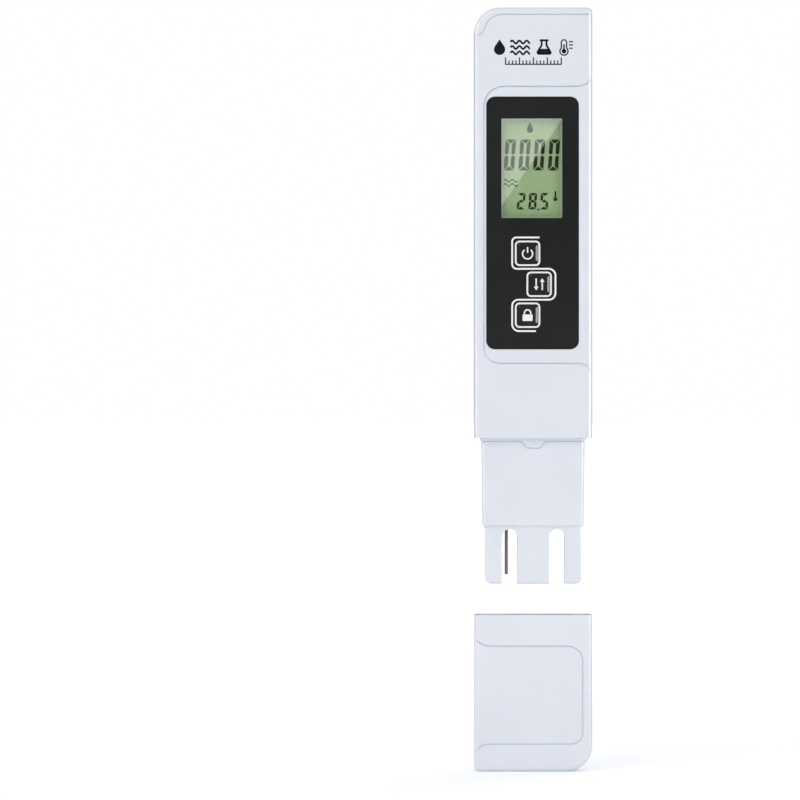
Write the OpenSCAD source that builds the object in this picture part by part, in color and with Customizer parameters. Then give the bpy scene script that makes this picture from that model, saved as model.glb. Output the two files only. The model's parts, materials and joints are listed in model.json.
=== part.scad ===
// Pen-type digital water tester with its loose cap.
// Millimetres. The origin is the middle of the probe's tip, +Z runs up the pen and -Y is the display side.
// The cap stands below the tip, on the pen's own axis, ready to be pushed on.

/* [Body] */
// Width of the body
body_w = 30.5; // [30:0.1:31]
// Thickness of the body
body_t = 14; // [13.8:0.1:14.4]
// Height of the body above the neck
body_h = 111.4; // [111:0.1:112]
// Wall thickness of the two shells
wall = 1.6; // [1.5:0.05:1.7]
// Rounding of the long edges and of the top edge
edge_r = 1.2; // [0.8:0.1:1.4]
// Radius of the one large corner, at the top left
crown_r = 6.7; // [6:0.1:7]
// Depth of the sunk waist that carries the display panel
waist_d = 0.4; // [0.2:0.05:0.5]

/* [Neck and probe] */
// Width of the neck
neck_w = 26.7; // [26.5:0.05:26.8]
// Thickness of the neck
neck_t = 10.2; // [10:0.05:10.3]
// Height of the neck between the body and the tines
neck_h = 23; // [20:0.5:26]
// Overall width of the three tines
tines_w = 25; // [24.6:0.1:25]
// Thickness of the tines
tines_t = 8.6; // [8:0.1:9]
// Rounding of the tines' edges
tines_edge_r = 0.5; // [0.3:0.05:0.6]
// Height of the tines
tines_h = 14.7; // [14:0.1:16]
// Width of the two slots between the tines
slot_w = 4.05; // [3.8:0.05:4.2]
// Distance from the middle to each slot's centre
slot_x = 6.1; // [5.8:0.1:6.2]
// Diameter of the two electrode pins
pin_d = 0.8; // [0.8:0.05:1]

/* [Display and keys] */
// Width of the black display panel
panel_w = 23.9; // [23.4:0.1:24]
// Height of the black display panel
panel_h = 65.3; // [65:0.1:65.6]
// Width of the clear window
window_w = 15.7; // [15:0.1:16]
// Height of the clear window
window_h = 25.7; // [25:0.1:26]
// Side of a square key
key_w = 5.4; // [5:0.1:5.5]
// Distance between keys, up the pen
key_pitch = 8; // [7.8:0.1:8.2]
// How far the middle key is set to the right
key_shift = 3; // [2:0.1:3.4]
// Travel of a key
key_travel = 0.4; // [0.2:0.05:0.4]

/* [Cap] */
// Length of the cap
cap_h = 40.5; // [40.4:0.1:41.5]
// Clear gap between the tip and the cap's mouth while the cap is off
cap_gap = 8; // [5:1:40]
// Clearance between the cap and the neck, each side
cap_fit = 0.12; // [0.08:0.01:0.15]

/* [Battery] */
// Diameter of a button cell
cell_d = 11.6; // [11.5:0.05:11.6]
// Thickness of a button cell
cell_t = 5.4; // [5.2:0.1:5.4]

/* [Hidden] */
$fn = 48;

// Heights up the pen
neck_z0 = tines_h;
body_z0 = neck_z0 + neck_h;
body_z1 = body_z0 + body_h;
collar_z1 = body_z0 + 6.3;
neck_z1 = collar_z1 + 0.5;
waist_z0 = body_z0 + 19.2;
waist_z1 = body_z0 + 91.1;
panel_z = body_z0 + 55.65;
window_z = body_z0 + 69.8;
label_z1 = body_z1 - 1.95;

// Depths, front to rear
face_y = body_t/2;
waist_y = -face_y + waist_d;
line_w = 0.22;
line_d = 0.2;
pocket_d = 0.35;
panel_t = 0.3;
pocket_y = waist_y + pocket_d;
inner_y = face_y - wall;
split_y = 1;
lcd_y = -inner_y + 0.1;
glass_t = 0.8;
lcd_gap = 0.06;
lcd_film = 0.015;
board_y = -2;
board_t = 1;
slack = 0.05;

// Sideways places
half_w = body_w/2;
inner_x = half_w - wall;
panel_x = -0.2;
window_x = panel_x - 0.2;
spine_x = 12.9;
slot_r = slot_w/2;
slot_top = tines_h - 0.6 - slot_r;
pin_x = -slot_x - 0.8;
pin_y = 2.2;
pin_z0 = 2.4;

// Screws: lower pair in the open, upper pair under the battery door
low_screw = [9, body_z0 + 10.8];
top_screw = [9.5, body_z0 + 89.9];
screw_r = 1;
head_r = 1.8;
head_t = 1.3;
shank_l = 7.6;
post_r = 2.2;
low_head_y = face_y - 0.2;
top_head_y = face_y - 1.7;
board_screw_places = [[10.3, body_z0 + 25.3], [10.6, body_z0 + 49.3]];
board_screw_r = 0.75;

// Keys and their switches
key_x = panel_x - 1.3;
key_z = panel_z - 7.85;
key_places = [[key_x, key_z], [key_x + key_shift, key_z - key_pitch], [key_x, key_z - 2*key_pitch]];
key_hole = key_w + 0.2;
flange_w = key_w + 1.2;
flange_t = 0.5;
key_bevel = 0.6;
key_rise = 0.32;
flange_y = -inner_y + 0.05;
plunger_y = -4.6;
plunger_r = 1.1;
switch_w = 4.6;
switch_y = -4;

// Battery bay and its door
cell_x = 6.05;
cell_z = body_z1 - 10.9;
cell_r = cell_d/2;
cell_y0 = 0.1;
floor_y0 = 4.4;
floor_y1 = face_y - 1.5;
door_z0 = body_z0 + 87.5;
door_x = 12;
tongue_x = 12.8;
tongue_y0 = floor_y1 + slack;
tongue_y1 = face_y - 0.82;
holder_z0 = cell_z - 8;
holder_z1 = cell_z + 8.2;
contact_t = 0.3;

// Cap, standing mouth up below the tip
cap_z1 = -cap_gap;
cap_z0 = cap_z1 - cap_h;
cap_floor = 2.2;
band_h = 0.7;
band_d = 0.35;
tongue_h = 2.4;
neck_draft = 0.5;

shell_white = [0.9, 0.92, 0.95];
panel_black = [0.13, 0.13, 0.13];
board_green = [0.1, 0.35, 0.2];
steel = [0.75, 0.76, 0.78];
rubber_grey = [0.25, 0.25, 0.26];

// ---- shared outlines and solids ----

// Points of an arc, from angle a0 to a1
function arc(c, r, a0, a1, n = 8) =
    [for (i = [0:n]) let (a = a0 + (a1 - a0)*i/n) c + r*[cos(a), sin(a)]];

// Rectangle with corner radii r: bottom left, bottom right, top right, top left
function round_rect(lo, hi, r, n = 8) = concat(
    arc([lo[0] + r[0], lo[1] + r[0]], r[0], 180, 270, n),
    arc([hi[0] - r[1], lo[1] + r[1]], r[1], 270, 360, n),
    arc([hi[0] - r[2], hi[1] - r[2]], r[2], 0, 90, n),
    arc([lo[0] + r[3], hi[1] - r[3]], r[3], 90, 180, n));

function centred(w, h, r, c = [0, 0]) =
    round_rect([c[0] - w/2, c[1] - h/2], [c[0] + w/2, c[1] + h/2], [r, r, r, r]);

// The points p turned over, left to right within a width w
function flip_x(p, w) = [for (q = p) [w - q[0], q[1]]];

// Extrudes a front-view outline (x, z) between two depths
module slab(y0, y1) rotate([90, 0, 0]) translate([0, 0, -y1]) linear_extrude(y1 - y0) children();

// Upright prism with a rounded rectangle for its plan
module prism(w, t, r, z0, z1) translate([0, 0, z0]) linear_extrude(z1 - z0) polygon(centred(w, t, r));

// Cylinder along Y between two depths
module rod(x, z, r, y0, y1) translate([x, y1, z]) rotate([90, 0, 0]) cylinder(r = r, h = y1 - y0);

// Block of half thickness y, whose outline edges are rounded by e on the front and on the rear
module soft_block(lo, hi, radii, y = face_y, e = edge_r) hull() for (a = [0:11.25:90]) let (
    in = e*(1 - cos(a)),
    depth = y - e*(1 - sin(a)))
    slab(-depth, depth)
    polygon(round_rect(lo + [in, in], hi - [in, in], [for (r = radii) max(r - in, 0.01)]));

// Sunk waist outline, drawn in by g: closed by a spine on the left, flaring out at the right edge
function waist_outline(z0, z1, r_low, r_top, g = 0) = let (run = 16, flare_low = 3.3, flare_top = 4) concat(
    arc([-spine_x + r_low, z0 + r_low], r_low - g, 180, 270),
    arc([11.7, z0 - flare_low], flare_low + g, 90, 20),
    [[run, z0 - flare_low], [run, z1 + flare_top]],
    arc([11.4, z1 + flare_top], flare_top + g, -20, -90),
    arc([-spine_x + r_top, z1 - r_top], r_top - g, 90, 180));

// Sinks an outline into the front of the given block, with a fine groove at the foot of its step.
// The sunk face keeps the rounded edges of the block.
module sink(outline, inner) {
    difference() {
        slab(-face_y - 1, waist_y + edge_r) polygon(outline);
        translate([0, waist_d, 0]) children();
    }
    slab(-face_y - 1, waist_y + line_d) difference() {
        polygon(outline);
        polygon(inner);
    }
}

// ---- case ----

module body_block() difference() {
    soft_block([-half_w, body_z0 - 4], [half_w, body_z1], [edge_r, edge_r, edge_r, crown_r]);
    translate([-half_w - 1, -face_y - 1, body_z0 - 5]) cube([body_w + 2, body_t + 2, 5]);
}

// Everything in front of, or behind, the parting plane
module front_half() translate([-30, -30, -100]) cube([60, 30 + split_y, 300]);
module rear_half() translate([-30, split_y, -100]) cube([60, 30, 300]);

// The hollow above the neck collar, grown by g in its outline
function hollow_outline(g = 0) = round_rect(
    [-inner_x - g, collar_z1 - g], [inner_x + g, body_z1 - wall + g],
    [0.5 + g, 0.5 + g, 0.5 + g, crown_r - wall + g]);
module hollow() slab(-inner_y, inner_y) polygon(hollow_outline());

// Shallow groove round the case where its two halves meet
module parting_groove() slab(split_y - 0.1, split_y + 0.1) difference() {
    polygon(round_rect([-half_w - 1, body_z0 - 1], [half_w + 1, body_z1 + 1], [1, 1, 1, crown_r + 1]));
    polygon(round_rect([-half_w + 0.15, body_z0 - 2], [half_w - 0.15, body_z1 - 0.15],
        [edge_r, edge_r, edge_r, crown_r - 0.15]));
}

module joint_lip(g, depth) slab(split_y - depth, split_y + 0.2) difference() {
    polygon(hollow_outline(g));
    polygon(hollow_outline());
}

// Room that the neck, its flange and its seal take in the collar
module neck_room() {
    prism(neck_w + 0.1, neck_t + 0.1, 1.05, body_z0 - 1, collar_z1 + 1);
    prism(neck_w + 2.1, neck_t + 2.1, 1.5, body_z0 + 2.25, body_z0 + 5);
}

module screw_places() for (s = [-1, 1]) {
    translate([s*low_screw[0], low_head_y, low_screw[1]]) children(0);
    translate([s*top_screw[0], top_head_y, top_screw[1]]) children(0);
}

// Ledge along the top edge, drawn in by g: it follows the large corner and ends in an S at the left
function ledge_outline(g = 0) = let (
    r = 4.65, c = [-7.9, label_z1 - r],
    turn = 165, s = 3, q = c + (r + s)*[cos(turn), sin(turn)]) concat(
    [[16, body_z1 + 1], [-17, body_z1 + 1], [-17, q[1] - s + g]],
    arc(q, s - g, 270, turn + 180),
    arc(c, r + g, turn, 90),
    [[16, label_z1 + g]]);

// Sunk areas of the front: the waist and the top ledge
module front_sinks() {
    sink(waist_outline(waist_z0, waist_z1, 4.2, 5.3), waist_outline(waist_z0, waist_z1, 4.2, 5.3, line_w))
        body_block();
    sink(ledge_outline(), ledge_outline(line_w)) body_block();
}

module front_shell() color(shell_white) difference() {
    union() {
        difference() {
            intersection() {
                body_block();
                front_half();
            }
            hollow();
        }
        for (s = [-1, 1]) {
            for (p = [low_screw, top_screw]) rod(s*p[0], p[1], post_r, -inner_y - 0.2, split_y - 0.1);
            for (p = board_screw_places) rod(s*p[0], p[1], 1.8, -inner_y - 0.2, board_y);
            translate([s*8 - 0.5, -inner_y - 0.2, holder_z0 + 1]) cube([1, 3.3, 14]);
        }
    }
    joint_lip(0.8, 1.05);
    parting_groove();
    neck_room();
    front_sinks();
    slab(-face_y - 1, pocket_y) polygon(centred(panel_w + 0.1, panel_h + 0.1, 2.3, [panel_x, panel_z]));
    slab(-face_y - 1, pocket_y + 0.4)
        polygon(centred(window_w + 1.8, window_h + 1.8, 0.6, [window_x, window_z]));
    slab(-face_y - 1, -inner_y + 1)
        polygon(centred(window_w + 0.2, window_h + 0.2, 0.4, [window_x, window_z]));
    for (k = key_places) slab(-face_y - 1, -inner_y + 0.2) polygon(centred(key_hole, key_hole, 0.7, k));
    for (s = [-1, 1]) {
        rod(s*low_screw[0], low_screw[1], screw_r, low_head_y - head_t - shank_l - 0.3, split_y + 1);
        rod(s*top_screw[0], top_screw[1], screw_r, top_head_y - head_t - shank_l - 0.3, split_y + 1);
        for (p = board_screw_places) rod(s*p[0], p[1], board_screw_r, -5.2, board_y + 1);
    }
}

// Pocket for the battery door, with an undercut groove on each side, open at the top end
module door_pocket(g = 0) {
    translate([-door_x - g, tongue_y1 - 0.5, door_z0 - g]) cube([2*(door_x + g), 3, body_h]);
    translate([-tongue_x - g, floor_y1, door_z0 - g])
        cube([2*(tongue_x + g), tongue_y1 + slack/2 - floor_y1, body_h]);
}

module rear_shell() color(shell_white) difference() {
    union() {
        difference() {
            intersection() {
                body_block();
                rear_half();
            }
            hollow();
        }
        intersection() {
            body_block();
            translate([-half_w, floor_y0, door_z0 - 1.6]) cube([body_w, 2, body_h]);
        }
        joint_lip(0.75, 1);
        for (s = [-1, 1]) {
            rod(s*low_screw[0], low_screw[1], post_r, split_y, inner_y + 0.2);
            rod(s*top_screw[0], top_screw[1], post_r, split_y, floor_y0 + 0.2);
        }
    }
    parting_groove();
    neck_room();
    door_pocket(slack);
    slab(floor_y0 - 1, floor_y1 + 1)
        polygon(centred(2*door_x, cell_d + 0.4, 1, [0, cell_z]));
    screw_places() rotate([90, 0, 0]) union() {
        translate([0, 0, -3]) cylinder(r = head_r + 0.1, h = 3 + head_t);
        cylinder(r = screw_r + 0.1, h = 8);
    }
}

module battery_door() color(shell_white) difference() {
    intersection() {
        body_block();
        union() {
            translate([-door_x + slack, tongue_y1 - 0.4, door_z0]) cube([2*(door_x - slack), 3, body_h]);
            translate([-tongue_x, tongue_y0, door_z0]) cube([2*tongue_x, tongue_y1 - tongue_y0, body_h]);
        }
    }
    // dished thumb grip with ribs left standing in it
    difference() {
        slab(face_y - 0.5, face_y + 1) polygon(centred(12, 7, 1.5, [0, door_z0 + 6.5]));
        for (i = [-2:2]) translate([-5, face_y - 0.6, door_z0 + 6.2 + 1.25*i]) cube([10, 0.6, 0.6]);
    }
    slab(tongue_y0 - 1, tongue_y0 + 0.3) polygon(centred(18.2, 5.2, 0.6, [0, cell_z]));
}

module door_bridge_contact() color(steel)
    slab(tongue_y0, tongue_y0 + 0.25) polygon(centred(18, 5, 0.6, [0, cell_z]));

module case_screw() rotate([90, 0, 0]) difference() {
    union() {
        cylinder(r = head_r, h = head_t);
        cylinder(r = screw_r - 0.02, h = head_t + shank_l);
    }
    for (a = [0, 90]) rotate([0, 0, a]) translate([-1, -0.2, -1]) cube([2, 0.4, 1.6]);
}

module case_screws() color(steel) screw_places() case_screw();

// ---- battery ----

module battery_holder() color([0.2, 0.2, 0.22]) difference() {
    slab(-2.2, floor_y0 - 0.1) polygon(centred(25.2, holder_z1 - holder_z0, 1.5,
        [0, (holder_z0 + holder_z1)/2]));
    for (s = [-1, 1]) {
        rod(s*cell_x, cell_z, cell_r + 0.1, cell_y0 - contact_t, 10);
        translate([s*cell_x - 1.3, cell_y0 - contact_t - 0.05, holder_z0 - 1])
            cube([2.6, contact_t + 0.15, 6]);
    }
    // sunk place for the arched spring leaf
    translate([cell_x - 4.3, -1.15, cell_z - 2.2]) cube([8.6, 3, 4.4]);
    // clearance to the rounded corner of the case
    translate([-12.6, -3, holder_z1]) rotate([0, 45, 0]) cube([3, 10, 3], center = true);
}

// Cup with its smaller negative cap towards +Z
module button_cell() rotate_extrude() polygon(concat(
    [[0, 0], [cell_r - 0.4, 0]],
    arc([cell_r - 0.4, 0.4], 0.4, 270, 360, 4),
    arc([cell_r - 0.4, cell_t - 0.8], 0.4, 0, 90, 4),
    [[cell_r - 1, cell_t - 0.4], [cell_r - 1.2, cell_t - 0.25], [cell_r - 1.4, cell_t - 0.25],
     [cell_r - 1.6, cell_t], [0, cell_t]]));

module button_cell_left() color(steel)
    translate([-cell_x, cell_y0 + cell_t, cell_z]) rotate([90, 0, 0]) mirror([0, 0, 1])
    translate([0, 0, -cell_t]) button_cell();
module button_cell_right() color(steel)
    translate([cell_x, cell_y0 + cell_t, cell_z]) rotate([90, 0, 0]) button_cell();

// Flat blade under the left cell, with a solder tail out of the holder
module positive_contact() color(steel) slab(cell_y0 - contact_t, cell_y0) union() {
    translate([-cell_x, cell_z]) square([7, 5], center = true);
    translate([-cell_x - 1, holder_z0 - 1.4]) square([2, cell_z - holder_z0 + 1.4]);
}

// Arched leaf that presses on the right cell, on a blade with a solder tail
module negative_contact() {
    rise = 0.95;
    run = 3.8;
    leaf_r = (run*run + rise*rise)/(2*rise);
    a = asin(run/leaf_r);
    color(steel) union() {
        translate([cell_x, cell_y0 - leaf_r, cell_z - 1.5]) linear_extrude(3) polygon(concat(
            arc([0, 0], leaf_r, 90 + a, 90 - a, 10), arc([0, 0], leaf_r - 0.2, 90 - a, 90 + a, 10)));
        slab(cell_y0 - contact_t, cell_y0 - slack) translate([cell_x - 1, holder_z0 - 1.4])
            square([2, cell_z - holder_z0 + 0.2]);
    }
}

// ---- wires ----

function mix(a, b, t) = a + (b - a)*t;
function bezier(p, t) = len(p) == 1 ? p[0] : bezier([for (i = [0:len(p) - 2]) mix(p[i], p[i + 1], t)], t);
function unit(v) = v/norm(v);

// Round wire of radius r along a Bezier curve through its control points
module wire(p, r, rings = 20, sides = 8) {
    path = [for (i = [0:rings]) bezier(p, i/rings)];
    points = [for (i = [0:rings]) let (
        along = unit(path[min(i + 1, rings)] - path[max(i - 1, 0)]),
        side = unit(cross(along, [0.05, 1, 0.02])), up = cross(side, along))
        for (k = [0:sides - 1]) path[i] + r*(side*cos(360*k/sides) + up*sin(360*k/sides))];
    ends = [[for (k = [0:sides - 1]) k], [for (k = [sides - 1:-1:0]) rings*sides + k]];
    walls = [for (i = [0:rings - 1]) for (k = [0:sides - 1]) let (n = (k + 1)%sides)
        [i*sides + k, (i + 1)*sides + k, (i + 1)*sides + n, i*sides + n]];
    polyhedron(points = points, faces = concat(ends, walls), convexity = 4);
}

lead_r = 0.45;
lead_z0 = neck_z0 + 6.9;
lead_pads = [-4.5, -1.5, 1.5, 4.5];
lead_starts = [[pin_x, -pin_y, lead_z0], [pin_x, pin_y, lead_z0], [-0.6, 0, lead_z0], [0.6, 0, lead_z0]];

module probe_leads() for (i = [0:3]) let (s = lead_starts[i], e = [lead_pads[i], board_y + board_t + 0.5, 63])
    color(i < 2 ? "firebrick" : "goldenrod") wire([s, s + [0, 0, 12], [s[0]*0.6, s[1] + 1.4, 40],
        [e[0]*0.9, 3.2, 50], [e[0], e[1], 54], e], lead_r);

module battery_leads() for (s = [-1, 1]) let (a = [s*cell_x, cell_y0 - contact_t - 0.5, holder_z0 - 0.3])
    color(s < 0 ? "red" : "black") wire([a, a + [0, -0.2, -3], [s*4.8, 0.5, holder_z0 - 4],
        [s*4.2, 0.1, holder_z0 - 6], [s*4, board_y + board_t + 0.5, holder_z0 - 9]], lead_r, 12);

// ---- display ----

module display_panel() color(panel_black) slab(pocket_y - panel_t, pocket_y) difference() {
    polygon(centred(panel_w, panel_h, 2.25, [panel_x, panel_z]));
    polygon(centred(window_w, window_h, 0.3, [window_x, window_z]));
    for (k = key_places) polygon(centred(key_hole + 0.1, key_hole + 0.1, 0.7, k));
}

module display_window() color([0.8, 0.9, 0.85, 0.3]) {
    slab(pocket_y - panel_t, pocket_y + 0.1) polygon(centred(window_w - 0.1, window_h - 0.1, 0.25,
        [window_x, window_z]));
    slab(pocket_y, pocket_y + 0.38) polygon(centred(window_w + 1.7, window_h + 1.7, 0.6,
        [window_x, window_z]));
}

lcd_w = 20.5;
lcd_h = 31;
lcd_ledge = 2.2;
lcd_plane = lcd_y + glass_t;
rear_glass_y = lcd_plane + lcd_gap;

module lcd_front_glass() color([0.8, 0.9, 0.8, 0.4])
    slab(lcd_y, lcd_plane) translate([window_x, window_z]) square([lcd_w, lcd_h], center = true);

module lcd_rear_glass() color([0.7, 0.8, 0.65])
    slab(rear_glass_y, rear_glass_y + glass_t) translate([window_x, window_z])
    square([lcd_w, lcd_h - 2*lcd_ledge], center = true);

module lcd_reflector() color([0.6, 0.62, 0.58])
    slab(rear_glass_y + glass_t + lcd_film, rear_glass_y + glass_t + 0.2) translate([window_x, window_z])
    square([lcd_w - 1, lcd_h - 2*lcd_ledge - 0.6], center = true);

// The seven bars of a digit in a w by h box, of thickness t, with mitred ends and a gap between them
function flip_z(p, h) = [for (q = p) [q[0], h - q[1]]];
function digit_bars(w, h, t) = let (
    g = 0.17*t,
    top = [[g, h], [w - g, h], [w - t - g, h - t], [t + g, h - t]],
    upper = [[0, h - g], [t, h - t - g], [t, h/2 + t/2], [t/2, h/2 + g/2], [0, h/2 + t/2]],
    middle = [[t/2 + g, h/2], [t + g, h/2 + t/2], [w - t - g, h/2 + t/2], [w - t/2 - g, h/2],
              [w - t - g, h/2 - t/2], [t + g, h/2 - t/2]])
    [top, upper, flip_x(upper, w), middle, flip_z(upper, h), flip_z(flip_x(upper, w), h), flip_z(top, h)];

// Which of the seven bars each figure lights
lit_bars = ["1110111", "0010010", "1011101", "1011011", "0111010", "1101011", "1101111", "1010010",
            "1111111", "1111011"];
lean = 0.07;
module digit(figure, w, h, t) {
    bars = digit_bars(w, h, t);
    for (i = [0:6]) if (lit_bars[figure][i] == "1") polygon([for (q = bars[i]) [q[0] + lean*q[1], q[1]]]);
}

// Small pictograms on the glass: a falling drop, two waves and a thermometer
module drop_mark(r) polygon(concat([[0, 2.4*r]], arc([0, 0], r, 155, 385, 12)));
module wave_mark(w) for (i = [0, 1]) polygon(concat(
    [for (k = [0:16]) [w*k/16, 1.1*i + 0.34*sin(45*k)]],
    [for (k = [16:-1:0]) [w*k/16, 1.1*i + 0.34*sin(45*k) + 0.38]]));
module thermometer_mark() {
    circle(r = 0.52);
    translate([-0.22, 0.3]) square([0.44, 1.8]);
}

module lcd_segments() color([0.1, 0.12, 0.1]) slab(lcd_plane + lcd_film, rear_glass_y - lcd_film)
    translate([window_x - window_w/2, window_z - window_h/2]) {
        for (i = [0:3]) translate([0.6 + 3.8*i, 12.35]) digit(0, 2.65, 8, 0.95);
        for (i = [0:2]) translate([3.95 + 3*i, 2.25]) digit([2, 8, 5][i], 2.05, 4.25, 0.64);
        translate([9.35, 1.95]) square(0.48);
        translate([7.4, 22.9]) drop_mark(0.8);
        translate([0.6, 8.4]) wave_mark(3.6);
        translate([14, 4.9]) thermometer_mark();
    }

module lcd_frame() color([0.92, 0.92, 0.9]) union() {
    slab(lcd_y, board_y) translate([window_x, window_z]) difference() {
        square([24.4, 34.6], center = true);
        square([lcd_w + 0.2, lcd_h + 0.2], center = true);
    }
    for (s = [-1, 1]) translate([window_x + s*11.3 - 0.5, board_y - 0.1, window_z - 1.5]) cube([1, 1.8, 3]);
}

module contact_strips() color(rubber_grey) for (s = [-1, 1]) slab(lcd_plane, board_y)
    translate([window_x, window_z + s*(lcd_h/2 - 1.1)]) square([18, 1.8], center = true);

// ---- circuit board and switches ----

module circuit_board() color(board_green) difference() {
    slab(board_y, board_y + board_t) polygon(round_rect(
        [-12.6, body_z0 + 20.8], [12.6, body_z0 + 87.5], [1, 1, 1, 1]));
    for (s = [-1, 1]) {
        for (p = board_screw_places) rod(s*p[0], p[1], board_screw_r + 0.1, board_y - 1, board_y + 2);
        translate([window_x + s*11.3 - 0.55, board_y - 1, window_z - 1.55]) cube([1.1, 3, 3.1]);
    }
}

// Domed drop of epoxy over the bare chip
module controller_chip() {
    base_r = 6;
    rise = 1.5;
    dome_r = (base_r*base_r + rise*rise)/(2*rise);
    spread = asin(base_r/dome_r);
    color([0.05, 0.05, 0.05]) translate([0, board_y + board_t, window_z + 2]) rotate([-90, 0, 0])
        rotate_extrude() polygon(concat([[0, 0]], arc([0, rise - dome_r], dome_r, 90 - spread, 90)));
}

module board_parts() let (y = board_y + board_t) {
    for (i = [0:5]) color(i%2 == 0 ? "saddlebrown" : "dimgray")
        translate([-8.5 + 3.2*i, y, window_z - 13 - 1.5*(i%2)]) cube([1.6, 0.6, 0.8]);
    for (s = [-1, 1]) color("dimgray") translate([s*9 - 0.6, y, window_z + 6]) cube([1.2, 0.7, 2]);
    color(steel) translate([-1, y + 1.05, window_z - 24]) rotate([0, 90, 0]) cylinder(r = 1, h = 6);
    color("dimgray") translate([-6, y, window_z - 26]) cube([3, 1.2, 4]);
}

module board_screws() color(steel) for (s = [-1, 1]) for (p = board_screw_places)
    translate([s*p[0], board_y + board_t + 0.9, p[1]]) rotate([90, 0, 0]) difference() {
        union() {
            cylinder(r = 1.45, h = 0.9);
            cylinder(r = board_screw_r - 0.02, h = 4.6);
        }
        for (a = [0, 90]) rotate([0, 0, a]) translate([-0.8, -0.15, -1]) cube([1.6, 0.3, 1.5]);
    }

module switch_bases() color([0.12, 0.12, 0.13]) for (k = key_places) difference() {
    slab(switch_y, board_y) polygon(centred(switch_w, switch_w, 0.3, k));
    rod(k[0], k[1], plunger_r + 0.1, switch_y - 1, switch_y + 1.2);
}

module plunger(k) color([0.7, 0.7, 0.68]) rod(k[0], k[1], plunger_r, plunger_y, plunger_y + 1.1);
module power_plunger() plunger(key_places[0]);
module shift_plunger() plunger(key_places[1]);
module hold_plunger() plunger(key_places[2]);

// Square key with bevelled edges, a retaining flange and a foot that meets its switch
module key(k) color(panel_black) union() {
    hull() {
        slab(-face_y, -face_y + 0.02)
            polygon(centred(key_w - 2*key_bevel, key_w - 2*key_bevel, 0.35, k));
        slab(-face_y + key_rise, flange_y) polygon(centred(key_w, key_w, 0.7, k));
    }
    slab(flange_y, flange_y + flange_t) polygon(centred(flange_w, flange_w, 0.6, k));
    rod(k[0], k[1], 1.5, flange_y + flange_t - 0.1, plunger_y);
}
module power_key() key(key_places[0]);
module shift_key() key(key_places[1]);
module hold_key() key(key_places[2]);

// ---- probe ----

module slot_outline(s) translate([s*slot_x, 0]) union() {
    translate([-slot_r, -1]) square([slot_w, slot_top + 1]);
    translate([0, slot_top]) circle(r = slot_r);
}

// Trapezium-shaped key on the front of the neck, under the band
function tongue_outline(g = 0) = [
    [-3 - g, body_z0], [-3 - g, body_z0 - band_h - g], [-1.6 - g, body_z0 - tongue_h - g],
    [1.6 + g, body_z0 - tongue_h - g], [3 + g, body_z0 - band_h - g], [3 + g, body_z0]];

// Fine groove on the neck along the foot of the band and of the tongue
module neck_groove() difference() {
    intersection() {
        union() {
            prism(neck_w + 2, neck_t + 2, 1, body_z0 - band_h - line_w, body_z0);
            slab(-neck_t, 0) polygon(tongue_outline(line_w));
        }
        prism(neck_w + 4, neck_t + 4, 1, neck_z0, body_z0 - band_h);
    }
    slab(-neck_t, 0) polygon(tongue_outline());
    prism(neck_w - 2*line_d, neck_t - 2*line_d, 0.8, neck_z0, body_z0);
}

module probe_housing() color(shell_white) difference() {
    union() {
        hull() {
            prism(neck_w - neck_draft - 0.8, neck_t - neck_draft - 0.8, 0.8, neck_z0, neck_z0 + 0.1);
            prism(neck_w - neck_draft, neck_t - neck_draft, 1, neck_z0 + 0.5, neck_z0 + 0.6);
            prism(neck_w, neck_t, 1, body_z0 - band_h, body_z0);
        }
        prism(neck_w, neck_t, 1, body_z0 - 0.1, neck_z1);
        prism(neck_w + 2*band_d, neck_t + 2*band_d, 1.2, body_z0 - band_h, body_z0);
        slab(-neck_t/2 - band_d, -neck_t/2 + 1) polygon(tongue_outline());
        prism(neck_w + 2, neck_t + 2, 1.5, body_z0 + 2.3, body_z0 + 3.9);
        soft_block([-tines_w/2, 0], [tines_w/2, neck_z0 + 1], [1.6, 1.6, 0.1, 0.1],
            tines_t/2, tines_edge_r);
    }
    neck_groove();
    prism(neck_w - 3, neck_t - 3, 0.6, neck_z0 + 2.3, neck_z1 + 1);
    for (s = [-1, 1]) slab(-10, 10) slot_outline(s);
    for (s = [-1, 1]) translate([pin_x, s*pin_y, 5]) cylinder(r = pin_d/2 + 0.02, h = neck_z0);
    translate([0, 0, 2]) cylinder(r = 1.3, h = neck_z0 + 2);
}

module neck_seal() color(rubber_grey) difference() {
    prism(neck_w + 2, neck_t + 2, 1.5, body_z0 + 3.9, body_z0 + 4.9);
    prism(neck_w + 0.04, neck_t + 0.04, 1, body_z0 + 3, body_z0 + 6);
}

module electrode(y) color([0.5, 0.5, 0.5]) translate([pin_x, y, pin_z0])
    cylinder(r = pin_d/2, h = lead_z0 - slack - pin_z0);
module front_electrode() electrode(-pin_y);
module rear_electrode() electrode(pin_y);

module thermistor() color([0.15, 0.15, 0.16]) union() {
    translate([0, 0, 3.5]) sphere(r = 1.2);
    translate([0, 0, 3.5]) cylinder(r = 1.2, h = 5);
    for (s = [-1, 1]) translate([s*0.6, 0, 8]) cylinder(r = 0.25, h = lead_z0 - 8 - slack);
}

module potting_plug() color([0.1, 0.1, 0.1]) difference() {
    prism(neck_w - 3.04, neck_t - 3.04, 0.6, neck_z0 + 2.32, neck_z0 + 5.3);
    for (s = [-1, 1]) {
        translate([pin_x, s*pin_y, 5]) cylinder(r = pin_d/2 + 0.02, h = 30);
        translate([s*0.6, 0, 5]) cylinder(r = 0.27, h = 30);
    }
}

// ---- cap ----

// The cap repeats the body's outline turned half way round: its large corner is at the bottom right
module cap_block() difference() {
    soft_block([-half_w, cap_z0], [half_w, cap_z1 + 4], [edge_r, crown_r, edge_r, edge_r]);
    translate([-half_w - 1, -face_y - 1, cap_z1]) cube([body_w + 2, body_t + 2, 6]);
}

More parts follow.
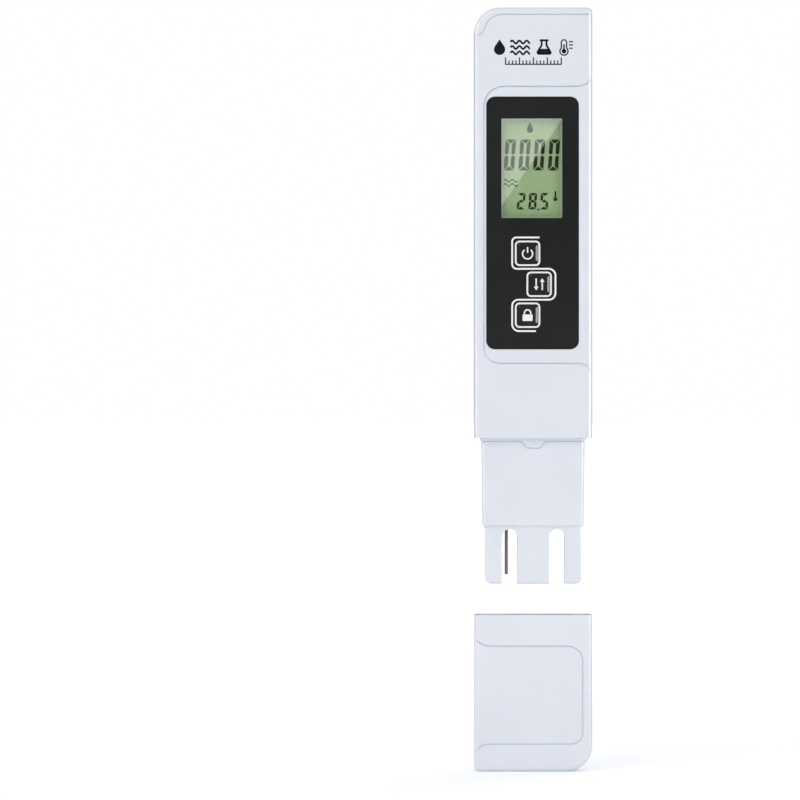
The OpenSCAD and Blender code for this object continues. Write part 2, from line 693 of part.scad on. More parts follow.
// Sunk waist of the cap, closed on the right and flaring out at the left edge
function cap_waist(g = 0) = flip_x(waist_outline(cap_z0 + 7, cap_z1 - 7.9, 3, 4, g), 0);

module cap() color(shell_white) difference() {
    cap_block();
    intersection() {
        prism(neck_w + 2*cap_fit, neck_t + 2*cap_fit, 1 + cap_fit, cap_z0, cap_z1 + 1);
        slab(-10, 10) polygon(round_rect([-half_w, cap_z0 + cap_floor], [neck_w/2 + cap_fit, cap_z1 + 2],
            [0.1, crown_r - 2.7, 0.1, 0.1]));
    }
    prism(neck_w + 2*(band_d + cap_fit), neck_t + 2*(band_d + cap_fit), 1.3,
        cap_z1 - band_h - 0.2, cap_z1 + 1);
    translate([0, 0, cap_z1 - body_z0]) slab(-neck_t/2 - band_d - cap_fit, 0) polygon(tongue_outline(0.15));
    sink(cap_waist(), cap_waist(line_w)) cap_block();
}

front_shell();
rear_shell();
battery_door();
door_bridge_contact();
battery_holder();
button_cell_left();
button_cell_right();
positive_contact();
negative_contact();
battery_leads();
case_screws();
display_panel();
display_window();
lcd_front_glass();
lcd_rear_glass();
lcd_reflector();
lcd_segments();
lcd_frame();
contact_strips();
circuit_board();
controller_chip();
board_parts();
board_screws();
switch_bases();
power_key();
shift_key();
hold_key();
power_plunger();
shift_plunger();
hold_plunger();
probe_housing();
neck_seal();
front_electrode();
rear_electrode();
thermistor();
potting_plug();
probe_leads();
cap();
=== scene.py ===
import json
import math

import bmesh
import bpy
from mathutils import Matrix, Vector


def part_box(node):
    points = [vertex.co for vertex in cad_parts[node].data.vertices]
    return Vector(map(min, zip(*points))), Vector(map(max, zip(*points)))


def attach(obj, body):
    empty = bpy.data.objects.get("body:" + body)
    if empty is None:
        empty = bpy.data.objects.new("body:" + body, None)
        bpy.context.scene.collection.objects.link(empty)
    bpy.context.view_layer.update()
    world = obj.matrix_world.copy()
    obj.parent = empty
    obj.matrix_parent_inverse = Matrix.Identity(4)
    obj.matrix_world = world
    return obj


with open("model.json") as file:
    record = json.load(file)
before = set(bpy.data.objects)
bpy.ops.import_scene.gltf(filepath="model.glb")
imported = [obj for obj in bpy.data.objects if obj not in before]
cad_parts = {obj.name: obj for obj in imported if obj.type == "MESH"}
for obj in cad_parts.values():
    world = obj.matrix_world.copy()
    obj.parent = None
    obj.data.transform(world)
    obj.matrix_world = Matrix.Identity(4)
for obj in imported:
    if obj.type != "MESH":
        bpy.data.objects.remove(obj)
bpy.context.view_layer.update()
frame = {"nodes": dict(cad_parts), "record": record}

MM = 0.001
nodes = frame["nodes"]


def middle(node):
    """Centre of a CAD node's box at rest, in millimetres."""
    low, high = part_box(node)
    return (low + high) / 2 / MM


def low_mm(node):
    """Least corner of a CAD node's box at rest, in millimetres."""
    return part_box(node)[0] / MM


def high_mm(node):
    """Greatest corner of a CAD node's box at rest, in millimetres."""
    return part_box(node)[1] / MM


# ---------------------------------------------------------------- camera

LENS_MM = 300.0
SENSOR_MM = 36.0
VIEW_MM = 206.77        # width of the picture at the pen's front face
EYE_X = -34.48          # the eye stands left of the pen's axis,
EYE_Z = 47.58           # and this far above its tip
FACE_Y = low_mm("front_shell").y
DISTANCE = VIEW_MM * LENS_MM / SENSOR_MM
EYE = Vector((EYE_X, FACE_Y - DISTANCE, EYE_Z))

camera_data = bpy.data.cameras.new("camera")
camera_data.lens = LENS_MM
camera_data.sensor_width = SENSOR_MM
camera_data.clip_start = 0.05
camera_data.clip_end = 60.0
camera = bpy.data.objects.new("camera", camera_data)
camera.location = EYE * MM
camera.rotation_euler = (math.radians(90), 0, 0)
bpy.context.scene.collection.objects.link(camera)
bpy.context.scene.camera = camera


# ---------------------------------------------------------------- node helpers

def empty_tree(owner):
    """The owner's node tree with nothing in it; the owner is a material or the world."""
    owner.use_nodes = True
    tree = owner.node_tree
    tree.nodes.clear()
    return tree


def add(tree, kind, **values):
    """A new node with the given settings."""
    node = tree.nodes.new(kind)
    for key, value in values.items():
        setattr(node, key, value)
    return node


def mix_colours(tree, factor, a, b):
    """Socket with the blend of two colours."""
    node = add(tree, "ShaderNodeMix", data_type="RGBA")
    tree.links.new(factor, node.inputs["Factor"])
    node.inputs["A"].default_value = (*a, 1)
    node.inputs["B"].default_value = (*b, 1)
    return node.outputs["Result"]


def ramp(tree, value, low, high, out_low, out_high):
    """Socket with the value carried over from one range to another, and held at its ends."""
    node = add(tree, "ShaderNodeMapRange")
    node.inputs["From Min"].default_value = low
    node.inputs["From Max"].default_value = high
    node.inputs["To Min"].default_value = out_low
    node.inputs["To Max"].default_value = out_high
    tree.links.new(value, node.inputs["Value"])
    return node.outputs["Result"]


def noise(tree, coords, scale, detail=3.0, rough=0.5):
    """Socket with a noise between 0 and 1."""
    node = add(tree, "ShaderNodeTexNoise")
    node.inputs["Scale"].default_value = scale
    node.inputs["Detail"].default_value = detail
    node.inputs["Roughness"].default_value = rough
    tree.links.new(coords, node.inputs["Vector"])
    return node.outputs["Fac"]


def surface(name, colour, colour2, rough, rough2, grain=3500.0, bump=0.03, depth=0.00002, cloud=90.0,
            metallic=0.0, ior=1.5, coat=0.0, coat_rough=0.1, edge=0.0, stretch=(1, 1, 1)):
    """A moulded, cast or drawn surface: a slow drift of colour, and a fine grain in roughness and relief."""
    material = bpy.data.materials.new(name)
    tree = empty_tree(material)
    out = add(tree, "ShaderNodeOutputMaterial")
    shader = add(tree, "ShaderNodeBsdfPrincipled")
    tree.links.new(shader.outputs["BSDF"], out.inputs["Surface"])
    coords = add(tree, "ShaderNodeTexCoord").outputs["Object"]
    mapping = add(tree, "ShaderNodeMapping")
    mapping.inputs["Scale"].default_value = stretch
    tree.links.new(coords, mapping.inputs["Vector"])
    place = mapping.outputs["Vector"]
    drift = ramp(tree, noise(tree, place, cloud, 4.0), 0.35, 0.65, 0.0, 1.0)
    tree.links.new(mix_colours(tree, drift, colour, colour2), shader.inputs["Base Color"])
    fine = noise(tree, place, grain, 4.0, 0.6)
    tree.links.new(ramp(tree, fine, 0.3, 0.7, rough, rough2), shader.inputs["Roughness"])
    shader.inputs["Metallic"].default_value = metallic
    shader.inputs["IOR"].default_value = ior
    shader.inputs["Coat Weight"].default_value = coat
    shader.inputs["Coat Roughness"].default_value = coat_rough
    relief = add(tree, "ShaderNodeBump")
    relief.inputs["Strength"].default_value = bump
    relief.inputs["Distance"].default_value = depth
    tree.links.new(fine, relief.inputs["Height"])
    if edge > 0:
        soft = add(tree, "ShaderNodeBevel", samples=4)
        soft.inputs["Radius"].default_value = edge * MM
        tree.links.new(soft.outputs["Normal"], relief.inputs["Normal"])
    tree.links.new(relief.outputs["Normal"], shader.inputs["Normal"])
    return material


def clear(name, tint, mirror=0.035, rough=0.02):
    """Thin clear plate: light passes straight through, and both its faces mirror more towards grazing."""
    material = bpy.data.materials.new(name)
    tree = empty_tree(material)
    out = add(tree, "ShaderNodeOutputMaterial")
    through = add(tree, "ShaderNodeBsdfTransparent")
    coords = add(tree, "ShaderNodeTexCoord").outputs["Object"]
    haze = ramp(tree, noise(tree, coords, 400.0), 0.3, 0.7, 0.0, 1.0)
    tree.links.new(mix_colours(tree, haze, tint, tuple(0.985 * c for c in tint)), through.inputs["Color"])
    gloss = add(tree, "ShaderNodeBsdfAnisotropic")
    gloss.inputs["Color"].default_value = (1, 1, 1, 1)
    gloss.inputs["Roughness"].default_value = rough
    slant = add(tree, "ShaderNodeLayerWeight")
    slant.inputs["Blend"].default_value = 0.5
    steep = add(tree, "ShaderNodeMath", operation="POWER")
    steep.inputs[1].default_value = 5.0
    tree.links.new(slant.outputs["Facing"], steep.inputs[0])
    both = add(tree, "ShaderNodeMixShader")
    tree.links.new(ramp(tree, steep.outputs["Value"], 0.0, 1.0, mirror, 1.0), both.inputs["Fac"])
    tree.links.new(through.outputs["BSDF"], both.inputs[1])
    tree.links.new(gloss.outputs["BSDF"], both.inputs[2])
    tree.links.new(both.outputs["Shader"], out.inputs["Surface"])
    return material


# ---------------------------------------------------------------- materials

WHITE = (0.790, 0.820, 0.885)
WHITE2 = (0.768, 0.798, 0.866)

white_abs = surface("white_abs", WHITE, WHITE2, 0.38, 0.50, grain=5200.0, bump=0.10, depth=0.00001,
                    coat=0.5, coat_rough=0.14, edge=0.10)
panel_black = surface("panel_black", (0.0062, 0.0068, 0.0066), (0.0090, 0.0096, 0.0092), 0.30, 0.40,
                      grain=7000.0, bump=0.05, depth=0.000008, ior=1.28, edge=0.05)
key_black = surface("key_black", (0.006, 0.0062, 0.0065), (0.009, 0.0092, 0.0096), 0.18, 0.26,
                    grain=6000.0, bump=0.03, depth=0.000008, ior=1.34, edge=0.06)
ink_white = surface("ink_white", (0.93, 0.93, 0.93), (0.89, 0.89, 0.895), 0.40, 0.50, grain=9000.0)
ink_black = surface("ink_black", (0.0035, 0.0035, 0.004), (0.006, 0.006, 0.007), 0.50, 0.65,
                    grain=9000.0, ior=1.22)
reflector = surface("lcd_reflector", (0.545, 0.72, 0.40), (0.565, 0.74, 0.42), 0.55, 0.7,
                    grain=14000.0, bump=0.06, depth=0.00001, cloud=160.0)
segment_ink = surface("segment_ink", (0.036, 0.056, 0.026), (0.044, 0.064, 0.032), 0.6, 0.7,
                      cloud=900.0, ior=1.2)
# painted highlight for the light line round the display's edge, not the display's own colour
painted_edge_highlight = surface("painted_edge_highlight", (0.52, 0.62, 0.46), (0.56, 0.66, 0.50), 0.5, 0.6)
window_clear = clear("window_clear", (0.985, 0.99, 0.985), 0.05, 0.015)
glass_clear = clear("glass_clear", (0.97, 0.985, 0.965), 0.006, 0.05)
frame_white = surface("frame_white", (0.72, 0.72, 0.70), (0.68, 0.68, 0.66), 0.5, 0.6)
rubber = surface("rubber", (0.016, 0.016, 0.016), (0.024, 0.024, 0.024), 0.7, 0.85, bump=0.2)
board = surface("board_green", (0.012, 0.11, 0.035), (0.02, 0.16, 0.05), 0.3, 0.45,
                cloud=500.0, coat=0.4)
epoxy = surface("epoxy_black", (0.008, 0.008, 0.009), (0.015, 0.015, 0.016), 0.2, 0.35, coat=0.3)
ceramic = surface("board_part_bodies", (0.16, 0.11, 0.07), (0.30, 0.27, 0.24), 0.4, 0.6, cloud=700.0)
steel = surface("screw_steel", (0.46, 0.46, 0.47), (0.58, 0.58, 0.59), 0.25, 0.42,
                metallic=1.0, stretch=(1, 1, 6), edge=0.05)
nickel = surface("bright_nickel", (0.58, 0.57, 0.54), (0.68, 0.67, 0.64), 0.16, 0.30,
                 metallic=1.0, stretch=(1, 6, 1), edge=0.05)
black_abs = surface("black_abs", (0.018, 0.018, 0.020), (0.028, 0.028, 0.030), 0.5, 0.62, bump=0.15)
probe_steel = surface("probe_steel", (0.170, 0.150, 0.134), (0.205, 0.183, 0.165), 0.55, 0.70,
                      metallic=0.35, cloud=300.0, stretch=(1, 1, 0.15))
wire_skin = surface("wire_skin", (0.42, 0.02, 0.015), (0.5, 0.035, 0.025), 0.35, 0.5, coat=0.2)

SLOT_MATERIALS = {
    "white_abs": white_abs,
    "black_panel": panel_black,
    "black_keys": key_black,
    "clear_window": window_clear,
    "lcd_glass": glass_clear,
    "lcd_back": reflector,
    "lcd_ink": segment_ink,
    "white_frame": frame_white,
    "black_rubber": rubber,
    "green_board": board,
    "black_epoxy": epoxy,
    "board_parts": ceramic,
    "steel": steel,
    "cell_steel": nickel,
    "spring_steel": nickel,
    "black_abs": black_abs,
    "probe_steel": probe_steel,
    "red_wire": wire_skin,
}


# ---------------------------------------------------------------- smooth shading of the CAD nodes

def smooth_group(degrees):
    """Joins the mesh's seams, smooths its faces and keeps edges sharper than the angle crisp."""
    group = bpy.data.node_groups.new(f"smooth_{degrees}", "GeometryNodeTree")
    for way in ("INPUT", "OUTPUT"):
        group.interface.new_socket("Geometry", in_out=way, socket_type="NodeSocketGeometry")
    enter = group.nodes.new("NodeGroupInput")
    leave = group.nodes.new("NodeGroupOutput")
    weld = group.nodes.new("GeometryNodeMergeByDistance")
    weld.inputs["Distance"].default_value = 2e-6
    faces = group.nodes.new("GeometryNodeSetShadeSmooth")
    edges = group.nodes.new("GeometryNodeSetShadeSmooth")
    edges.domain = "EDGE"
    edges.inputs["Shade Smooth"].default_value = False
    angle = group.nodes.new("GeometryNodeInputMeshEdgeAngle")
    sharper = group.nodes.new("FunctionNodeCompare")
    sharper.data_type = "FLOAT"
    sharper.operation = "GREATER_THAN"
    sharper.inputs[1].default_value = math.radians(degrees)
    link = group.links.new
    link(enter.outputs[0], weld.inputs["Geometry"])
    link(weld.outputs["Geometry"], faces.inputs["Geometry"])
    link(faces.outputs["Geometry"], edges.inputs["Geometry"])
    link(angle.outputs["Unsigned Angle"], sharper.inputs[0])
    link(sharper.outputs["Result"], edges.inputs["Selection"])
    link(edges.outputs["Geometry"], leave.inputs[0])
    return group


smooth = smooth_group(20)


def polish(obj):
    """Smooths the flat facets of a rounded face, and keeps its edges."""
    bpy.context.view_layer.objects.active = obj
    if obj.data.has_custom_normals:
        bpy.ops.mesh.customdata_custom_splitnormals_clear()
    step = obj.modifiers.new("smooth", "NODES")
    step.node_group = smooth
    weigh = obj.modifiers.new("weigh", "WEIGHTED_NORMAL")
    weigh.keep_sharp = True
    weigh.weight = 100


# the rear glass carries the display's green film, so it isn't a clear plate
OWN_MATERIALS = {"lcd_rear_glass": reflector}

for row in frame["record"]["subparts"]:
    obj = nodes[row["node"]]
    obj.data.materials.clear()
    obj.data.materials.append(OWN_MATERIALS.get(row["node"], SLOT_MATERIALS[row["material_slot"]]))
    polish(obj)


# ---------------------------------------------------------------- printed marks, as thin raised ink

def arc(centre, radius, start, end, steps=12):
    """Points of an arc between two angles in degrees."""
    cx, cz = centre
    turn = [math.radians(start + (end - start) * i / steps) for i in range(steps + 1)]
    return [(cx + radius * math.cos(a), cz + radius * math.sin(a)) for a in turn]


def box_outline(x0, z0, x1, z1):
    """The corners of an upright rectangle."""
    return [(x0, z0), (x1, z0), (x1, z1), (x0, z1)]


def rounded(points, radii, closed=False, steps=8):
    """The path with each corner rounded to its radius; radii is one number or one for each corner."""
    count = len(points)
    made = []
    for i, p in enumerate(points):
        p = Vector(p)
        r = radii[i] if isinstance(radii, (list, tuple)) else radii
        if r <= 0 or (not closed and i in (0, count - 1)):
            made.append((p.x, p.y))
            continue
        u = (Vector(points[i - 1]) - p).normalized()
        v = (Vector(points[(i + 1) % count]) - p).normalized()
        half = math.acos(max(-1, min(1, u.dot(v)))) / 2
        centre = p + (u + v).normalized() * r / math.sin(half)
        first = p + u * r / math.tan(half) - centre
        last = p + v * r / math.tan(half) - centre
        sweep = first.angle_signed(last)
        for k in range(steps + 1):
            q = first.copy()
            q.rotate(Matrix.Rotation(-sweep * k / steps, 2))
            made.append((centre.x + q.x, centre.y + q.y))
    return made


class Ink:
    """Collects flat outlines and strokes in the front view and makes them one thin mesh."""

    def __init__(self, y_front, y_back):
        self.mesh = bmesh.new()
        self.front = y_front
        self.back = y_back

    def _ring(self, points, y):
        return [self.mesh.verts.new((x * MM, y * MM, z * MM)) for x, z in points]

    def fill(self, points):
        """A solid outline, given anticlockwise as seen from the front."""
        area = sum(a[0] * b[1] - b[0] * a[1] for a, b in zip(points, points[1:] + points[:1]))
        if area < 0:
            points = points[::-1]
        front, back = self._ring(points, self.front), self._ring(points, self.back)
        self.mesh.faces.new(front)
        self.mesh.faces.new(back[::-1])
        count = len(points)
        for i in range(count):
            j = (i + 1) % count
            self.mesh.faces.new((front[j], front[i], back[i], back[j]))

    def stroke(self, points, width, closed=False):
        """A line of one width along the points."""
        count = len(points)
        left, right = [], []
        for i, p in enumerate(points):
            p = Vector(p)
            before = Vector(points[i - 1]) if closed or i > 0 else None
            after = Vector(points[(i + 1) % count]) if closed or i < count - 1 else None
            a = (p - before).normalized() if before is not None else (after - p).normalized()
            b = (after - p).normalized() if after is not None else a
            side = Vector((-(a + b).y, (a + b).x)).normalized()
            reach = width / 2 / max(0.3, side.dot(Vector((-a.y, a.x))))
            left.append(tuple(p + side * reach))
            right.append(tuple(p - side * reach))
        lf, rf = self._ring(left, self.front), self._ring(right, self.front)
        lb, rb = self._ring(left, self.back), self._ring(right, self.back)
        for i in range(count if closed else count - 1):
            j = (i + 1) % count
            self.mesh.faces.new((lf[i], rf[i], rf[j], lf[j]))
            self.mesh.faces.new((lb[j], rb[j], rb[i], lb[i]))
            self.mesh.faces.new((lf[j], lb[j], lb[i], lf[i]))
            self.mesh.faces.new((rf[i], rb[i], rb[j], rf[j]))
        if not closed:
            self.mesh.faces.new((lf[0], lb[0], rb[0], rf[0]))
            self.mesh.faces.new((rf[-1], rb[-1], lb[-1], lf[-1]))

    def make(self, name, material, body, slot):
        """The finished mesh, riding on a body."""
        bmesh.ops.recalc_face_normals(self.mesh, faces=self.mesh.faces)
        data = bpy.data.meshes.new(name)
        self.mesh.to_mesh(data)
        self.mesh.free()
        data.materials.append(material)
        obj = bpy.data.objects.new(name, data)
        bpy.context.scene.collection.objects.link(obj)
        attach(obj, body)
        return obj


INK = 0.014             # how far printed ink stands up from its face
SUNK = 0.006            # and how far it reaches into it

# white lines on the black panel: a rounded frame round each key and one line that winds between them
PANEL_Y = low_mm("display_panel").y
lines = Ink(PANEL_Y - INK, PANEL_Y + SUNK)
KEYS = ("power_key", "shift_key", "hold_key")
FRAME_HALF = 3.06
FRAME_CORNER = 0.95
FRAME_LINE = 0.43
WINDING_LINE = 0.45
for key in KEYS:
    c = middle(key)
    square = box_outline(c.x - FRAME_HALF, c.z - FRAME_HALF, c.x + FRAME_HALF, c.z + FRAME_HALF)
    lines.stroke(rounded(square, FRAME_CORNER, closed=True), FRAME_LINE, closed=True)
power, shift, hold = (middle(key) for key in KEYS)
WINDING_OUT = 4.1       # how far the line runs outside the keys' middles
left_x, right_x = power.x - 3.98, shift.x + 4.21
top_z, low_z = power.z + WINDING_OUT, hold.z - WINDING_OUT
upper_z, lower_z = (power.z + shift.z) / 2, (shift.z + hold.z) / 2
winding = [(power.x + 3.08, top_z), (left_x, top_z), (left_x, upper_z), (right_x, upper_z),
           (right_x, lower_z), (left_x, lower_z), (left_x, low_z), (hold.x + 2.15, low_z)]
lines.stroke(rounded(winding, [0, 1.05, 1.2, 1.75, 1.75, 1.55, 1.75, 0]), WINDING_LINE)
lines.make("panel_lines", ink_white, "pen", "white_frame")


# marks on the keys
def key_ink(key):
    """Ink on a key's face, and the middle of that face."""
    c = middle(key)
    top = low_mm(key).y
    return Ink(top - INK, top + SUNK), c.x, c.z


MARK = 0.36             # width of a stroke on a key

# power: an open ring and a bar
ink, x, z = key_ink("power_key")
ink.stroke(arc((x, z - 0.15), 1.3, 128, 412, 24), MARK)
ink.stroke([(x, z + 0.1), (x, z + 1.6)], MARK)
ink.make("power_mark", ink_white, "power_button", "white_frame")

# shift: an arrow down and an arrow up
ARROW_APART, ARROW_HALF = 0.78, 0.62
ink, x, z = key_ink("shift_key")
for way in (-1, 1):
    ax = x + way * ARROW_APART
    ink.stroke([(ax, z - way * 1.5), (ax, z + way * 0.65)], MARK)
    ink.fill([(ax - ARROW_HALF, z + way * 0.6), (ax + ARROW_HALF, z + way * 0.6), (ax, z + way * 1.55)])
ink.make("shift_mark", ink_white, "shift_button", "white_frame")

# hold: a padlock
LOCK_HALF, BOW_R = 1.3, 0.8
ink, x, z = key_ink("hold_key")
ink.fill(rounded(box_outline(x - LOCK_HALF, z - 1.5, x + LOCK_HALF, z + 0.2), 0.2, closed=True))
ink.stroke([(x - BOW_R, z + 0.15), *arc((x, z + 0.6), BOW_R, 180, 0, 14), (x + BOW_R, z + 0.15)], MARK)
ink.make("hold_mark", ink_white, "hold_button", "white_frame")

# signs on the white face: a drop, waves, a flask and a thermometer over a fine scale
LABEL_Y = low_mm("front_shell").y
signs = Ink(LABEL_Y - INK, LABEL_Y + SUNK)
SIGN_Z = 138.7
STROKE = 0.5

# a falling drop
DROP_X = -8.75
signs.fill([(DROP_X, SIGN_Z + 2.1), *arc((DROP_X, SIGN_Z - 0.5), 1.45, 152, 388, 28)])

# three waves
WAVE_X, WAVE_STEP, WAVE_RISE = -5.95, 0.13, 0.38
for level in (-1.4, 0.0, 1.4):
    wave = [(WAVE_X + WAVE_STEP * i, SIGN_Z + level + WAVE_RISE * math.sin(i * math.pi / 7.2))
            for i in range(40)]
    signs.stroke(wave, STROKE)

# a flask, half full
FLASK_X, NECK_HALF, BASE_HALF = 2.75, 0.62, 1.95
flask = [(FLASK_X - NECK_HALF, SIGN_Z + 1.8), (FLASK_X - NECK_HALF, SIGN_Z + 0.6),
         (FLASK_X - BASE_HALF, SIGN_Z - 1.65), (FLASK_X + BASE_HALF, SIGN_Z - 1.65),
         (FLASK_X + NECK_HALF, SIGN_Z + 0.6), (FLASK_X + NECK_HALF, SIGN_Z + 1.8)]
signs.stroke(rounded(flask, [0, 0.3, 0.35, 0.35, 0.3, 0]), STROKE)
signs.stroke([(FLASK_X - 1.15, SIGN_Z + 1.85), (FLASK_X + 1.15, SIGN_Z + 1.85)], STROKE)
signs.fill([(FLASK_X - 1.2, SIGN_Z - 0.35), (FLASK_X + 1.2, SIGN_Z - 0.35),
            (FLASK_X + 1.85, SIGN_Z - 1.55), (FLASK_X - 1.85, SIGN_Z - 1.55)])

# a thermometer with three marks
TUBE_X, TUBE_R, BULB_Z, BULB_R = 7.9, 0.68, SIGN_Z - 0.95, 1.05
meet = math.degrees(math.acos(TUBE_R / BULB_R))
tube_top = arc((TUBE_X, SIGN_Z + 1.3), TUBE_R, 180, 0, 14)
bulb = arc((TUBE_X, BULB_Z), BULB_R, meet, -180 - meet, 28)
signs.stroke(tube_top + bulb, 0.34, closed=True)
signs.fill(arc((TUBE_X, BULB_Z), 0.6, 0, 345, 23))
signs.stroke([(TUBE_X, BULB_Z), (TUBE_X, SIGN_Z + 0.8)], 0.40)
for k in range(3):
    level = SIGN_Z - 0.2 + 0.85 * k
    signs.stroke([(9.2, level), (10.2, level)], 0.32)

# a graduated scale
SCALE_Z = 134.35
SCALE_STEP = 0.9
SCALE_LINE = 0.3
SCALE_HALF = 8.16 * SCALE_STEP
for i in range(-8, 9):
    tall = 1.8 if i % 4 == 0 else 1.0
    signs.stroke([(i * SCALE_STEP, SCALE_Z), (i * SCALE_STEP, SCALE_Z + tall)], SCALE_LINE)
signs.stroke([(-SCALE_HALF, SCALE_Z), (SCALE_HALF, SCALE_Z)], SCALE_LINE)
signs.make("face_signs", ink_black, "pen", "black_panel")

# painted highlight: a light line round the edge of the liquid-crystal display, standing in for the light
# that the window's edge catches
WINDOW_STEP = 0.9       # the window's hidden flange reaches this far past its clear opening
low, high = low_mm("display_window"), high_mm("display_window")
WINDOW_Y = low.y
GLASS_Y = low_mm("lcd_front_glass").y
wx0, wx1, wz0, wz1 = low.x + WINDOW_STEP, high.x - WINDOW_STEP, low.z + WINDOW_STEP, high.z - WINDOW_STEP
# the line is a painted highlight, a thin light sheet just in front of the display's glass
edge = Ink(GLASS_Y - 0.04, GLASS_Y - 0.02)
edge.stroke(box_outline(wx0, wz0, wx1, wz1), 0.5, closed=True)
edge.make("lcd_painted_edge_highlight", painted_edge_highlight, "pen", "lcd_back")


# ---------------------------------------------------------------- floor, background and light

FLOOR_Z = low_mm("cap").z
FLOOR_R = 25.0

floor_mesh = bpy.data.meshes.new("floor")
floor_bm = bmesh.new()
bmesh.ops.create_circle(floor_bm, cap_ends=True, segments=96, radius=FLOOR_R)
floor_bm.to_mesh(floor_mesh)
floor_bm.free()
floor = bpy.data.objects.new("floor", floor_mesh)
floor.location = (0, 0, FLOOR_Z * MM)
bpy.context.scene.collection.objects.link(floor)
floor_material = bpy.data.materials.new("floor_white")
tree = empty_tree(floor_material)
out = add(tree, "ShaderNodeOutputMaterial")
lit = add(tree, "ShaderNodeBsdfDiffuse")
lit.inputs["Color"].default_value = (0.86, 0.865, 0.875, 1)
glow = add(tree, "ShaderNodeEmission")
# just white as seen by the camera: enough near the object for its soft shadow to show, and more far away
away = add(tree, "ShaderNodeVectorMath", operation="LENGTH")
tree.links.new(add(tree, "ShaderNodeTexCoord").outputs["Object"], away.inputs[0])
seen = add(tree, "ShaderNodeLightPath").outputs["Is Camera Ray"]
strength = ramp(tree, seen, 0.0, 1.0, 0.10, 0.62)
tree.links.new(ramp(tree, away.outputs["Value"], 0.3, 0.9, 0.25, 0.62), strength.node.inputs["To Max"])
tree.links.new(strength, glow.inputs["Strength"])
both = add(tree, "ShaderNodeAddShader")
tree.links.new(lit.outputs["BSDF"], both.inputs[0])
tree.links.new(glow.outputs["Emission"], both.inputs[1])
tree.links.new(both.outputs["Shader"], out.inputs["Surface"])
floor_mesh.materials.append(floor_material)

world = bpy.data.worlds.new("studio")
bpy.context.scene.world = world
tree = empty_tree(world)
out = add(tree, "ShaderNodeOutputWorld")
seen = add(tree, "ShaderNodeBackground")
seen.inputs["Color"].default_value = (1, 1, 1, 1)
seen.inputs["Strength"].default_value = 1.0
cast = add(tree, "ShaderNodeBackground")
cast.inputs["Color"].default_value = (0.97, 0.985, 1.0, 1)
ways = add(tree, "ShaderNodeSeparateXYZ")
tree.links.new(add(tree, "ShaderNodeTexCoord").outputs["Generated"], ways.inputs["Vector"])
sideways = add(tree, "ShaderNodeMath", operation="POWER")
sideways.inputs[1].default_value = 2.0
tree.links.new(ways.outputs["X"], sideways.inputs[0])
# the sides are dark, and so is what glossy faces see behind the object: both draw its outline
path = add(tree, "ShaderNodeLightPath")
behind = add(tree, "ShaderNodeMath", operation="MULTIPLY")
tree.links.new(ramp(tree, ways.outputs["Y"], 0.2, 0.6, 0.0, 0.85), behind.inputs[0])
tree.links.new(path.outputs["Is Glossy Ray"], behind.inputs[1])
left_over = add(tree, "ShaderNodeMath", operation="SUBTRACT")
left_over.inputs[0].default_value = 1.0
tree.links.new(behind.outputs["Value"], left_over.inputs[1])
strength = add(tree, "ShaderNodeMath", operation="MULTIPLY")
tree.links.new(ramp(tree, sideways.outputs["Value"], 0.0, 1.0, 0.90, 0.05), strength.inputs[0])
tree.links.new(left_over.outputs["Value"], strength.inputs[1])
tree.links.new(strength.outputs["Value"], cast.inputs["Strength"])
choose = add(tree, "ShaderNodeMixShader")
tree.links.new(path.outputs["Is Camera Ray"], choose.inputs["Fac"])
tree.links.new(cast.outputs["Background"], choose.inputs[1])
tree.links.new(seen.outputs["Background"], choose.inputs[2])
tree.links.new(choose.outputs["Shader"], out.inputs["Surface"])


def softbox(name, place, aim, width, height, power, colour=(1, 1, 1), gloss_only=False):
    """A rectangular lamp that the camera doesn't see."""
    data = bpy.data.lights.new(name, "AREA")
    data.shape = "RECTANGLE"
    data.size = width
    data.size_y = height
    data.energy = power
    data.color = colour
    obj = bpy.data.objects.new(name, data)
    obj.location = place
    obj.rotation_euler = (Vector(aim) - Vector(place)).to_track_quat("-Z", "Y").to_euler()
    obj.visible_camera = False
    obj.visible_diffuse = not gloss_only
    bpy.context.scene.collection.objects.link(obj)
    return obj


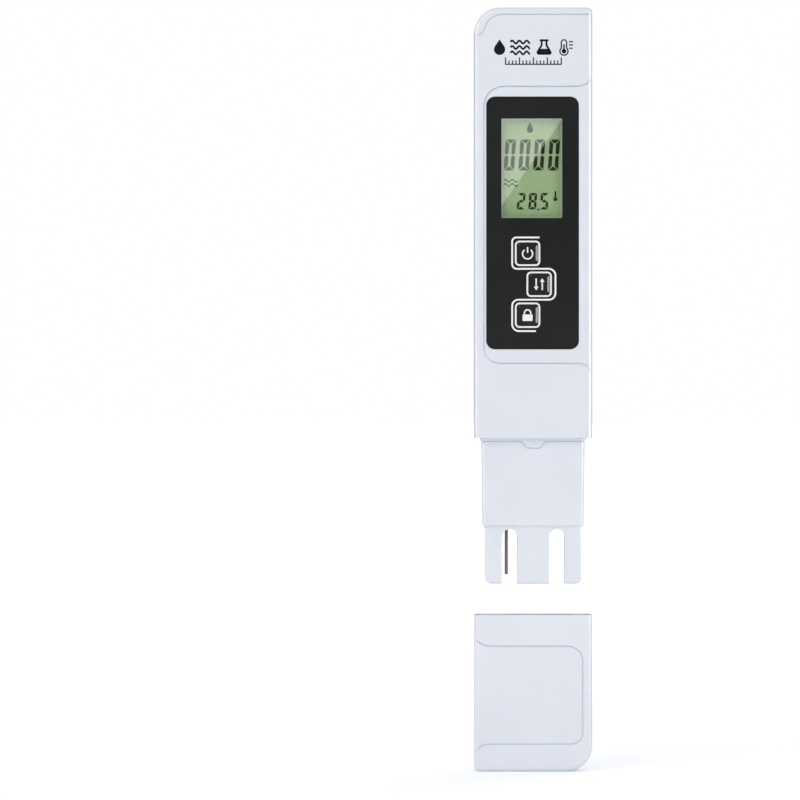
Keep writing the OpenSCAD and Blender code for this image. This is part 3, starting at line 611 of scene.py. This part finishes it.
AIM = (0, 0, 0.06)
softbox("key", (-0.55, -1.15, 1.05), AIM, 0.7, 0.7, 4.7, (1.0, 0.995, 0.985))
softbox("low_fill", (0, -0.35, -0.02), (0, 0, 0), 0.5, 0.04, 0.075)
softbox("left_strip", (-1.1, -0.02, 0.10), AIM, 0.10, 1.3, 2.0)
softbox("right_strip", (1.1, -0.02, 0.10), AIM, 0.10, 1.3, 2.0)
softbox("back", (0.5, 1.2, 0.8), AIM, 0.8, 0.8, 4.0, (0.98, 0.99, 1.0))
# seen only in glossy faces: they draw the light lines along the rounded edges and the keys' right bevels
softbox("left_sheen", (-1.05, -0.34, 0.10), AIM, 0.30, 1.3, 8.0, gloss_only=True)
softbox("right_sheen", (1.05, -0.34, 0.10), AIM, 0.30, 1.3, 5.0, gloss_only=True)
softbox("bevel_sheen", (0.95, -0.70, 0.09), (0, 0, 0.09), 0.30, 0.4, 9.0, gloss_only=True)


# the pane mirrors a white card whose slanting edge draws the line across the display, before a black one
def mirrored_card(name, outline, near, strength):
    """A card that only glossy faces see, placed so that its mirror image covers the outline on the pane."""
    reach = near / (WINDOW_Y - EYE.y)
    corners = [((x + (x - EYE.x) * reach) * MM, (WINDOW_Y - near) * MM, (z + (z - EYE.z) * reach) * MM)
               for x, z in outline]
    mesh = bpy.data.meshes.new(name)
    mesh.from_pydata(corners, [], [tuple(range(len(corners)))])
    card = bpy.data.objects.new(name, mesh)
    bpy.context.scene.collection.objects.link(card)
    material = bpy.data.materials.new(name)
    tree = empty_tree(material)
    out = add(tree, "ShaderNodeOutputMaterial")
    glow = add(tree, "ShaderNodeEmission")
    glow.inputs["Strength"].default_value = strength
    tree.links.new(glow.outputs["Emission"], out.inputs["Surface"])
    mesh.materials.append(material)
    for ray in ("camera", "diffuse", "transmission", "shadow", "volume_scatter"):
        setattr(card, f"visible_{ray}", False)


CARD_EDGE = 3.0
mirrored_card("white_card", [(-10.25, 94.9), (8.92, 122.2), (-10.25, 122.2)], 60.0, 1.6)
mirrored_card("black_card", box_outline(wx0 - CARD_EDGE, wz0 - CARD_EDGE, wx1 + CARD_EDGE, wz1 + CARD_EDGE),
              62.0, 0.0)

bpy.context.scene.view_settings.view_transform = "Standard"
